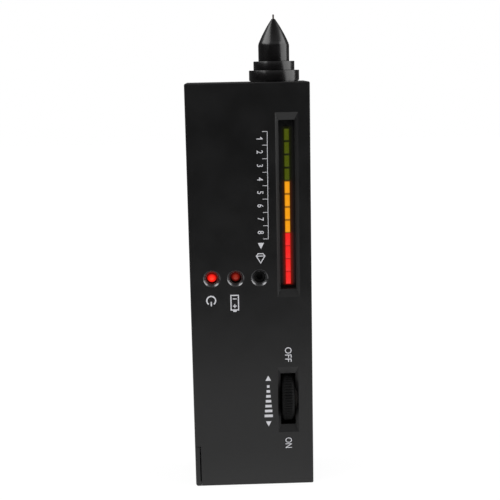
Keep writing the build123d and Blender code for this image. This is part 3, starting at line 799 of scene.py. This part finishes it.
def laid(piece, x, y, angle):
    """Turns a flat piece of a drawing and puts it in its place."""
    piece.rotation_euler = (0, 0, angle)
    piece.location = (x, y, 0)
    return settle(piece)


def stroke(name, start, end, width, thick):
    """A straight stroke with cut ends between two places of the drawing."""
    start, end = Vector(start), Vector(end)
    way, middle = end - start, (start + end) / 2
    long = way.length
    piece = block(name, (-long / 2, -width / 2, -thick / 2), (long / 2, width / 2, thick / 2))
    return laid(piece, middle.x, middle.y, math.atan2(way.y, way.x))


def path(name, places, width, thick):
    """Strokes along a row of places, with full corners, each lying a touch higher than the one before."""
    strokes = []
    for i, (start, end) in enumerate(zip(places, places[1:])):
        start, end = Vector(start), Vector(end)
        along = (end - start).normalized() * width / 2
        strokes.append(stroke(name, start - along, end + along, width, thick * (1 + 0.05 * i)))
    return together(name, strokes)


def arc(name, radius, first, last, width, thick):
    """Part of a ring about the middle of the drawing, between two angles in degrees."""
    start, thin = math.radians(first), 0.5e-6
    piece = block(name, (-thin, -width / 2, -thick / 2), (thin, width / 2, thick / 2))
    laid(piece, radius * math.cos(start), radius * math.sin(start), start - math.pi / 2)
    shaping(piece)
    merged(4 * thin)
    bpy.ops.mesh.select_all(action="SELECT")
    bpy.ops.mesh.spin(steps=40, angle=math.radians(first - last), center=(0, 0, 0), axis=(0, 0, 1))
    merged(NEAR)
    bpy.ops.mesh.normals_make_consistent(inside=False)
    done()
    return piece


def power_sign(thick):
    """An open ring with a stroke in its gap."""
    line = 0.42 * MM
    ring = arc("sign", 1.35 * MM, 35, 325, line, thick)
    return together("sign", [ring, stroke("sign", (0.35 * MM, 0), (1.75 * MM, 0), line, thick)])


def battery_sign(thick):
    """The outline of a small battery with its two poles marked."""
    tall, wide, line = 4.6 * MM, 2.3 * MM, 0.34 * MM
    arm, thin = 0.6 * MM, 0.3 * MM
    plus, minus = 1.1 * MM, -1.2 * MM
    x, y = tall / 2, wide / 2
    outline = path("sign", [(-x, -y), (x, -y), (x, y), (-x, y), (-x, -y)], line, thick)
    return together("sign", [
        outline,
        stroke("sign", (x + line / 2, 0), (x + 0.6 * MM, 0), 1.0 * MM, thick),
        stroke("sign", (plus, -arm), (plus, arm), thin, thick),
        stroke("sign", (plus - arm, 0), (plus + arm, 0), thin, thick * 1.1),
        stroke("sign", (minus, -arm), (minus, arm), thin, thick),
    ])


def gem_sign(thick):
    """The outline of a cut stone from the side, with its point towards the scale."""
    line = 0.28 * MM
    crown, girdle, point = -1.3 * MM, -0.55 * MM, 1.6 * MM
    top, side = 0.75 * MM, 1.3 * MM
    outer = [(crown, -top), (girdle, -side), (point, 0), (girdle, side), (crown, top), (crown, -top)]
    stone = path("sign", outer, line, thick)
    return together("sign", [stone, stroke("sign", (girdle, -side), (girdle, side), line, thick)])


# The printing on the front, in millimetres from the middle and from the foot, and its lean in radians
SCALE_X, SCALE_TOP, SCALE_STEP, SCALE_STEPS = 5.72, 111.5, 4.06, 8
TICK_FROM, TICK_TO = 4.17, 5.65
DIGITS_X = 3.45
LEAN = 0.0055
ONE = ((-0.16, 0.16), (0.08, 0.42), (0.08, -0.43))  # the places of a plain 1, in shares of its height
SWITCH_MARKS = (("OFF", 11.15, 42.45, 4.65), ("ON", 10.9, 13.65, 3.4))  # words, places and lengths
MARK_TALL = 2.05
WEDGE_BARS, WEDGE_X, WEDGE_TOP, WEDGE_STEP = 7, 4.75, 32.3, 1.6


def printed(name, pieces, ink):
    """Joins drawings into one piece of the print."""
    return mounted(together(name, pieces), "case", "steel", ink)


class TesterPrintOperator(bpy.types.Operator):
    """Prints the scale, its numerals, the switch marks and the plain signs on the front"""

    bl_idname = "tester.print"
    bl_label = "Printing"

    def execute(self, context):
        sizes = context.scene.tester_print
        thick = sizes.thickness
        ink = finish(
            "printed_ink", tuple(c * 0.9 for c in sizes.colour), tuple(sizes.colour), 0.5 * MM,
            (0.42, 0.55), grain=0.1 * MM, depth=0.003 * MM,
        )
        self.scale(sizes.line / 2, thick, ink)
        self.numerals(sizes.numeral, thick, ink)
        printed("print_switch_marks", [
            on_front(drawn("mark", text, MARK_TALL * MM, thick, long * MM, 0), x, z)
            for text, x, z, long in SWITCH_MARKS
        ], ink)
        printed("print_signs", [
            on_front(gem_sign(thick), 3.1, 73.2),
            on_front(power_sign(thick), -12.3, 60.2),
            on_front(battery_sign(thick), -5.1, 59.4),
        ], ink)
        self.wedge(thick, ink)
        return {"FINISHED"}

    def scale(self, half, thick, ink):
        """The scale's line, its ticks and the arrow below it."""
        middle, top, step = SCALE_X * MM, SCALE_TOP * MM, SCALE_STEP * MM
        foot = top - SCALE_STEPS * step
        lines = [block("line", (middle - half, front - thick, foot - half), (middle + half, front, top + half))]
        for i in range(SCALE_STEPS + 1):
            z = top - i * step
            low, high = (TICK_FROM * MM, front - thick, z - half), (TICK_TO * MM, front, z + half)
            lines.append(block("tick", low, high))
        ruler = leaned(together("ruler", lines), SCALE_X, SCALE_TOP, LEAN)
        arrow = on_front(triangle("line", 1.9 * MM, 1.9 * MM, thick), 3.25, 77.2)
        printed("print_scale", [ruler, arrow], ink)

    def numerals(self, tall, thick, ink):
        """The numerals between the ticks."""
        digits = []
        for i in range(SCALE_STEPS):
            if i == 0:
                digit = path("digit", [(x * tall, y * tall) for x, y in ONE], 0.15 * tall, thick)
            else:
                digit = drawn("digit", str(i + 1), tall, thick)
            digits.append(on_front(digit, DIGITS_X, SCALE_TOP - (i + 0.5) * SCALE_STEP))
        numerals = leaned(together("print_numerals", digits), DIGITS_X, SCALE_TOP, LEAN)
        mounted(numerals, "case", "steel", ink)

    def wedge(self, thick, ink):
        """The stepped wedge beside the wheel, between its two triangles."""
        side, tall = 1.75 * MM, 1.7 * MM
        up = triangle("wedge", side, tall, thick)
        up.rotation_euler = (0, 0, math.pi)
        wedge = [on_front(settle(up), 4.78, 34.7)]
        wedge.append(on_front(triangle("wedge", side, tall, thick), 4.7, 20.35))
        for i in range(WEDGE_BARS):
            wide = (0.8 + 0.3 * i) * MM
            bar = stroke("wedge", (0, -wide / 2), (0, wide / 2), 0.85 * MM, thick)
            wedge.append(on_front(bar, WEDGE_X, WEDGE_TOP - WEDGE_STEP * i))
        printed("print_wedge", wedge, ink)


# Display

COLOURS = ("red", "amber", "green")
BAR_PITCH, BAR_LIT, BAR_SIDE = 4.0 * MM, 3.45 * MM, 0.78 * MM
# For each colour: the light left at a bar's sides and between bars, and how far above its foot it is lit
BAR_SHADES = {"red": (0.85, 0.85, 0.1), "amber": (0.75, 0.4, 0.2), "green": (0.55, 0.15, 0.22)}
# For each round lamp: its slot, its light from the middle out, its level, and in millimetres how far below
# the lamp's middle the light starts and how far it reaches
LAMPS = {
    "ready_lamp": (
        "lamp_red",
        [screen(255, 62, 34), screen(255, 52, 30), screen(255, 36, 24), screen(225, 24, 16), screen(70, 4, 3)],
        1.0, 0.22, 1.55,
    ),
    "battery_lamp": (
        "lamp_dim",
        [screen(158, 48, 22), screen(150, 38, 20), screen(136, 28, 16), screen(92, 14, 10), screen(28, 3, 2)],
        0.9, -0.12, 1.45,
    ),
}


class TesterDisplayOperator(bpy.types.Operator):
    """Twelve bar lamps with rounded lenses: four red, four amber and four green"""

    bl_idname = "tester.display"
    bl_label = "Bar lamps"

    def execute(self, context):
        sizes = context.scene.tester_display
        middle = (bar_low + bar_high) / 2
        first = block("led_bar_1", bar_low, bar_high)
        rounded(first, sizes.corner, 3)
        smooth(first)
        lights = {}
        for colour in COLOURS:
            shown = Vector(getattr(sizes, colour))
            lens = finish(
                f"lens_{colour}", shown * 0.2, shown * 0.3, 0.6 * MM, (0.3, 0.42),
                grain=0.12 * MM, depth=0.004 * MM,
            )
            rim, between, lift = BAR_SHADES[colour]
            glowing(lens, (shown, shown, shown * 0.94, shown * rim), 0.95, BAR_SIDE, middle.x)
            parted(lens, bar_low.z + lift * MM, BAR_PITCH, BAR_LIT, between, bar_low.y)
            lights[colour] = lens
        for index in range(12):
            colour = COLOURS[index // 4]
            node = f"led_{colour}_{index % 4 + 1}"
            shift = Vector((0, 0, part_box(node)[0].z - bar_low.z))
            bar = first if index == 0 else again(first, f"led_bar_{index + 1}", shift)
            mounted(bar, "case", f"bar_{colour}", lights[colour], node)
        return {"FINISHED"}


class TesterLampsOperator(bpy.types.Operator):
    """The two round lamps with domed lenses"""

    bl_idname = "tester.lamps"
    bl_label = "Round lamps"

    def execute(self, context):
        dome, flange, steps = 1.5, 1.9, 12
        for node, (slot, colours, level, drop, reach) in LAMPS.items():
            low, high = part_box(node)
            x, z = (low.x + high.x) / 2, (low.z + high.z) / 2
            length = (high.y - low.y) / MM
            outline = [(0.05, 0), (flange, 0), (flange, 0.9), (1.8, 1.0), (dome, 1.0), (dome, length - dome)]
            for step in range(1, steps):
                angle = step / steps * math.pi / 2
                outline.append((dome * math.cos(angle), length - dome + dome * math.sin(angle)))
            outline.append((0.02, length))
            lamp = turned(node + "_lens", outline, 48)
            stood(lamp, (x, high.y, z), math.pi / 2)
            smooth(lamp)
            body = Vector(colours[1])
            lens = finish(
                node + "_plastic", body * 0.12, body * 0.2, 0.7 * MM, (0.3, 0.4),
                grain=0.3 * MM, depth=0.002 * MM,
            )
            glowing(lens, colours, level, reach * MM, x, z - drop * MM)
            mounted(lamp, "case", slot, lens, node)
        return {"FINISHED"}


# Thumbwheel


class TesterWheelOperator(bpy.types.Operator):
    """The toothed thumbwheel with eased teeth"""

    bl_idname = "tester.wheel"
    bl_label = "Thumbwheel"

    def execute(self, context):
        black = finish(
            "wheel_black", (0.0028, 0.0028, 0.003), (0.0042, 0.0042, 0.0044), 2 * MM, (0.55, 0.68),
            grain=0.1 * MM, depth=0.005 * MM, Specular_IOR_Level=0.15,
        )
        wheel = moulded_copy("thumbwheel", "wheel_moulding", 0.05 * MM, 20)
        mounted(wheel, "wheel", "wheel_black", black, "thumbwheel")
        return {"FINISHED"}


# Probe


class TesterProbeOperator(bpy.types.Operator):
    """The stepped probe: base ring, second ring and nose, all turned"""

    bl_idname = "tester.probe"
    bl_label = "Probe"

    def execute(self, context):
        sizes = context.scene.tester_probe
        base = Vector(sizes.colour)
        black = finish(
            "probe_black", base * 0.9, base * 1.2, 3 * MM, (0.2, 0.27), grain=0.5 * MM, depth=0.003 * MM,
            strength=0.4,
        )
        wide, middle, slim = (
            (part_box(node)[1].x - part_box(node)[0].x) / 2 / MM
            for node in ("probe_collar", "probe_ring", "probe_nose")
        )
        hole, spigot = 2.0, 3.65
        base_ring = [
            (hole, 122.9), (4.2, 122.9), (4.2, 124.35), (3.3, 124.35), (3.3, 126.0), (wide - 0.3, 126.0),
            (wide - 0.3, 126.3), (wide, 126.36), (wide, 129.3), (wide - 0.04, 129.37), (wide - 0.12, 129.4),
            (spigot, 129.4), (spigot, 127.4), (hole, 127.4),
        ]
        second_ring = [
            (spigot, 129.4), (middle - 0.08, 129.4), (middle, 129.48), (middle, 132.0),
            (middle - 0.04, 132.07), (middle - 0.12, 132.1), (spigot, 132.1),
        ]
        nose = [(2.2, 127.45), (3.6, 127.45), (3.6, 132.1), (slim - 0.08, 132.1), (slim, 132.18), (slim, 136.9)]
        drop, rise, swell, steps = slim - 0.7, 7.3, 0.22, 16
        slope = math.hypot(drop, rise)
        for i in range(1, steps + 1):
            share = i / steps
            bulge = swell * (1 - (2 * share - 1) ** 2) / slope
            nose.append((slim - share * drop + bulge * rise, 137.1 + share * rise + bulge * drop))
        nose += [(0.62, 144.55), (0.5, 144.67), (0.4, 144.7), (0.32, 144.7), (0.32, 139.2), (2.2, 139.2)]
        for name, node, outline in (
            ("base_ring", "probe_collar", base_ring),
            ("second_ring", "probe_ring", second_ring),
            ("nose", "probe_nose", nose),
        ):
            piece = turned(name, outline + outline[:1], sizes.sides, hollow=True)
            stood(piece, (probe_x, 0, 0))
            mounted(smooth(piece), "case", "probe_black", black, node)
        return {"FINISHED"}


class TesterPointOperator(bpy.types.Operator):
    """The copper point with its head and rod"""

    bl_idname = "tester.point"
    bl_label = "Point"

    def execute(self, context):
        copper = finish(
            "point_copper", screen(58, 50, 47), screen(84, 70, 64), 0.4 * MM, (0.22, 0.38),
            metal=1.0, grain=0.06 * MM, depth=0.002 * MM,
        )
        low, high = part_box("probe_tip")
        base, top = low.z / MM, high.z / MM
        rod, head, pin = 0.6, 1.75, 0.25
        outline = [(0.05, base), (rod - 0.05, base), (rod, base + 0.05), (rod, 137.37), (head - 0.05, 137.37)]
        outline += [(head, 137.42), (head, 139.12), (head - 0.05, 139.17), (pin, 139.17), (pin, top - 0.14)]
        outline += [(pin - 0.02, top - 0.06), (0.17, top - 0.015), (0.08, top), (0.02, top)]
        point = turned("point_pin", outline, 48)
        stood(point, (probe_x, 0, 0))
        mounted(smooth(point), "point", "copper", copper, "probe_tip")
        return {"FINISHED"}


# Inside

# Each set of leads: its node, the routes in millimetres, the radius and the slot
BATTERY_ROUTE = [(0, 0, 53.7), (0, 0, 55.9), (1, 4.6, 60), (1, 4.6, 69), (1, -1.4, 69)]
CONTROL_ENDS = ((-1.8, 10.55), (-0.2, 12.15), (1.4, 13.75))
LEADS = [
    ("battery_lead_black", [[(-4.65 - 3 * x, y, z) for x, y, z in BATTERY_ROUTE]], 0.5, "wire_black"),
    ("battery_lead_red", [[(-3.35 + 3 * x, y, z) for x, y, z in BATTERY_ROUTE]], 0.5, "wire_red"),
    ("control_leads", [
        [(15.15, y, 38.3), (15.15, y, 45.3), (x, 1.6, 56.5), (x, 1.6, 62.5), (x, -1.4, 62.5)]
        for y, x in CONTROL_ENDS
    ], 0.5, "wire_white"),
    ("probe_leads", [
        [(x, 0, 132.7), (x, 0, 121.4), (x, 1.6, 117.5), (x, 1.6, 110.5), (x, -1.4, 110.5)]
        for x in (7.15, 10.05)
    ], 0.42, "wire_white"),
]

# Each inner finish: its slot and name, its dark and light colour, the size of its patches in millimetres, its
# shine, its share of metal, its grain's size and depth in millimetres, and its specular level where it is low
INNER = (
    ("jacket_grey", "jacket_painted", (0.05, 0.055, 0.06), (0.08, 0.085, 0.09), 6, (0.25, 0.35), 0.6, 0.1,
     0.002),
    ("cell_metal", "cell_wrap", (0.25, 0.25, 0.24), (0.35, 0.35, 0.33), 4, (0.3, 0.5), 0.8, 0.2, 0.004),
    ("bright_metal", "plated_brass", (0.55, 0.54, 0.5), (0.7, 0.69, 0.66), 1, (0.18, 0.3), 1, 0.1, 0.002),
    ("soft_black", "snap_vinyl", (0.01,) * 3, (0.018,) * 3, 3, (0.5, 0.65), 0, 0.15, 0.01),
    ("holder_black", "holder_plastic", (0.0025, 0.0025, 0.0028), (0.004, 0.004, 0.0043), 3, (0.5, 0.62), 0,
     0.12, 0.006),
    ("board_green", "board_laminate", (0.01, 0.08, 0.03), (0.02, 0.12, 0.05), 2, (0.3, 0.42), 0, 0.3, 0.01),
    ("steel", "plain_steel", (0.3, 0.31, 0.32), (0.45, 0.45, 0.46), 1, (0.25, 0.4), 1, 0.08, 0.002),
    ("chip_black", "chip_epoxy", (0.006,) * 3, (0.01,) * 3, 1.5, (0.55, 0.7), 0, 0.1, 0.008, 0.2),
    ("can_blue", "can_sleeve", (0.01, 0.03, 0.12), (0.015, 0.045, 0.17), 3, (0.25, 0.35), 0, 0.4, 0.01),
    ("trimmer_blue", "trimmer_body", (0.01, 0.08, 0.3), (0.015, 0.1, 0.36), 2, (0.35, 0.45), 0, 0.2, 0.006),
    ("resistor_tan", "resistor_body", (0.35, 0.24, 0.12), (0.45, 0.32, 0.18), 0.8, (0.4, 0.55), 0, 0.1, 0.004),
    ("housing_brown", "control_laminate", (0.007, 0.004, 0.003), (0.012, 0.007, 0.004), 1.5, (0.5, 0.65), 0,
     0.15, 0.01),
    ("brass", "brass_part", (0.6, 0.4, 0.12), (0.72, 0.5, 0.18), 1, (0.25, 0.4), 1, 0.1, 0.003),
    ("copper", "copper_part", (0.55, 0.25, 0.15), (0.68, 0.33, 0.2), 1, (0.28, 0.4), 1, 0.1, 0.003),
    ("white_ceramic", "ceramic", (0.65, 0.64, 0.6), (0.75, 0.74, 0.71), 1, (0.35, 0.5), 0, 0.1, 0.006),
    ("wire_red", "lead_red", (0.4, 0.01, 0.01), (0.5, 0.02, 0.015), 2, (0.3, 0.4), 0, 0.2, 0.006),
    ("wire_black", "lead_black", (0.008,) * 3, (0.015,) * 3, 2, (0.3, 0.4), 0, 0.2, 0.006),
    ("wire_white", "lead_white", (0.6, 0.6, 0.58), (0.7, 0.7, 0.68), 2, (0.3, 0.4), 0, 0.2, 0.006),
)

# The bars' light on their holder: for each colour its level, and its green as a share of its red
SPILL = {"red": (0.24, 0.03), "amber": (0.07, 0.2), "green": (0.16, 1.15)}


def inner_finishes():
    """The inner finishes by their slots."""
    finishes = {}
    for slot, name, dark, light, patch, shine, metal, grain, depth, *low in INNER:
        plain = {"Specular_IOR_Level": low[0]} if low else {}
        finishes[slot] = finish(name, dark, light, patch * MM, shine, metal, grain * MM, depth * MM, **plain)
    return finishes


def foam_pad():
    """A foam pad whose sides pull in and whose top swells between its edges."""
    sink, waist = 0.35, 0.02
    low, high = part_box("battery_pad")
    pad = block("foam_pad", low, high)
    shaping(pad)
    bpy.ops.mesh.select_all(action="SELECT")
    bpy.ops.mesh.subdivide(number_cuts=7)
    done()
    middle, half = (low + high) / 2, (high - low) / 2
    shaping(pad)
    shape = bmesh.from_edit_mesh(pad.data)
    for vert in shape.verts:
        place = [(vert.co[i] - middle[i]) / half[i] for i in range(3)]
        crown = (1 - place[0] ** 2) * (1 - place[1] ** 2)
        if place[2] > 0:
            vert.co.z -= half.z * sink * place[2] * (1 - crown)
        for i in (0, 1):
            vert.co[i] -= half[i] * waist * place[i] * (1 - abs(place[2]))
    bmesh.update_edit_mesh(pad.data)
    done()
    rounded(pad, 0.25 * MM, 3, 50)
    smooth(pad, 60)
    return pad


class TesterInsideOperator(bpy.types.Operator):
    """Battery, board, control and leads inside the case"""

    bl_idname = "tester.inside"
    bl_label = "Inside"

    def execute(self, context):
        finishes = inner_finishes()
        foam = finish(
            "foam_open", (0.06, 0.06, 0.065), (0.1, 0.1, 0.105), 1.5 * MM, (0.85, 0.95),
            grain=0.25 * MM, depth=0.08 * MM, strength=1.0,
        )
        mounted(foam_pad(), "door", "foam_grey", foam, "battery_pad")
        for node, routes, radius, colour in LEADS:
            pieces = [lead("tube", route, radius) for route in routes]
            mounted(together(node + "_tubes", pieces), "case", colour, finishes[colour], node)
        spring, seat = coil("coil_spring", "probe_spring", 0.18, 4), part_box("spring_seat")
        mounted(spring, "case", "steel", finishes["steel"], "probe_spring")
        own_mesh(spring)
        jacket = moulded_copy("battery_jacket", "battery_can", 0.3 * MM)
        mounted(jacket, "case", "jacket_grey", finishes["jacket_grey"], "battery_jacket")
        self.spill(context.scene.tester_display, finishes["holder_black"])
        slots = {s["node"]: s["material_slot"] for s in frame["record"]["subparts"]}
        for node, thing in frame["nodes"].items():
            if thing.hide_render or slots[node] not in finishes:
                continue
            thing.data.materials.clear()
            thing.data.materials.append(finishes[slots[node]])
        return {"FINISHED"}

    def spill(self, lights, holder):
        """Lights the holder beside the bars in their colours."""
        colours = []
        for colour, (level, green) in SPILL.items():
            shown = Vector(getattr(lights, colour)) * level
            colours.append(Vector((shown.x, shown.x * green, 0)))
        middle = (bar_low.x + bar_high.x) / 2 + 0.08 * MM
        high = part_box("led_green_4")[1].z
        spilled(holder, middle, bar_low.z, high, colours, (0.75 * MM, 2.3 * MM))


class TesterPanel(bpy.types.Panel):
    """Lists the pieces and their sizes"""

    bl_idname = "TESTER_PT_pieces"
    bl_label = "Gem tester"
    bl_space_type = "VIEW_3D"
    bl_region_type = "UI"
    bl_category = "Gem tester"

    def draw(self, context):
        for operator in OPERATORS:
            self.layout.operator(operator.bl_idname)
        for group, kind in GROUPS.items():
            box = self.layout.box()
            for prop in kind.__annotations__:
                box.prop(getattr(context.scene, group), prop)


OPERATORS = [
    TesterStageOperator,
    TesterCaseOperator,
    TesterScrewsOperator,
    TesterPrintOperator,
    TesterDisplayOperator,
    TesterLampsOperator,
    TesterWheelOperator,
    TesterProbeOperator,
    TesterPointOperator,
    TesterInsideOperator,
]


def register():
    for kind in [*GROUPS.values(), *OPERATORS, TesterPanel]:
        bpy.utils.register_class(kind)
    for group, kind in GROUPS.items():
        setattr(bpy.types.Scene, group, PointerProperty(type=kind))


def unregister():
    for group in GROUPS:
        delattr(bpy.types.Scene, group)
    for kind in [TesterPanel, *OPERATORS[::-1], *GROUPS.values()]:
        bpy.utils.unregister_class(kind)


def main():
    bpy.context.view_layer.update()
    register()
    for operator in OPERATORS:
        group, name = operator.bl_idname.split(".")
        getattr(getattr(bpy.ops, group), name)()


if __name__ == "__main__":
    main()
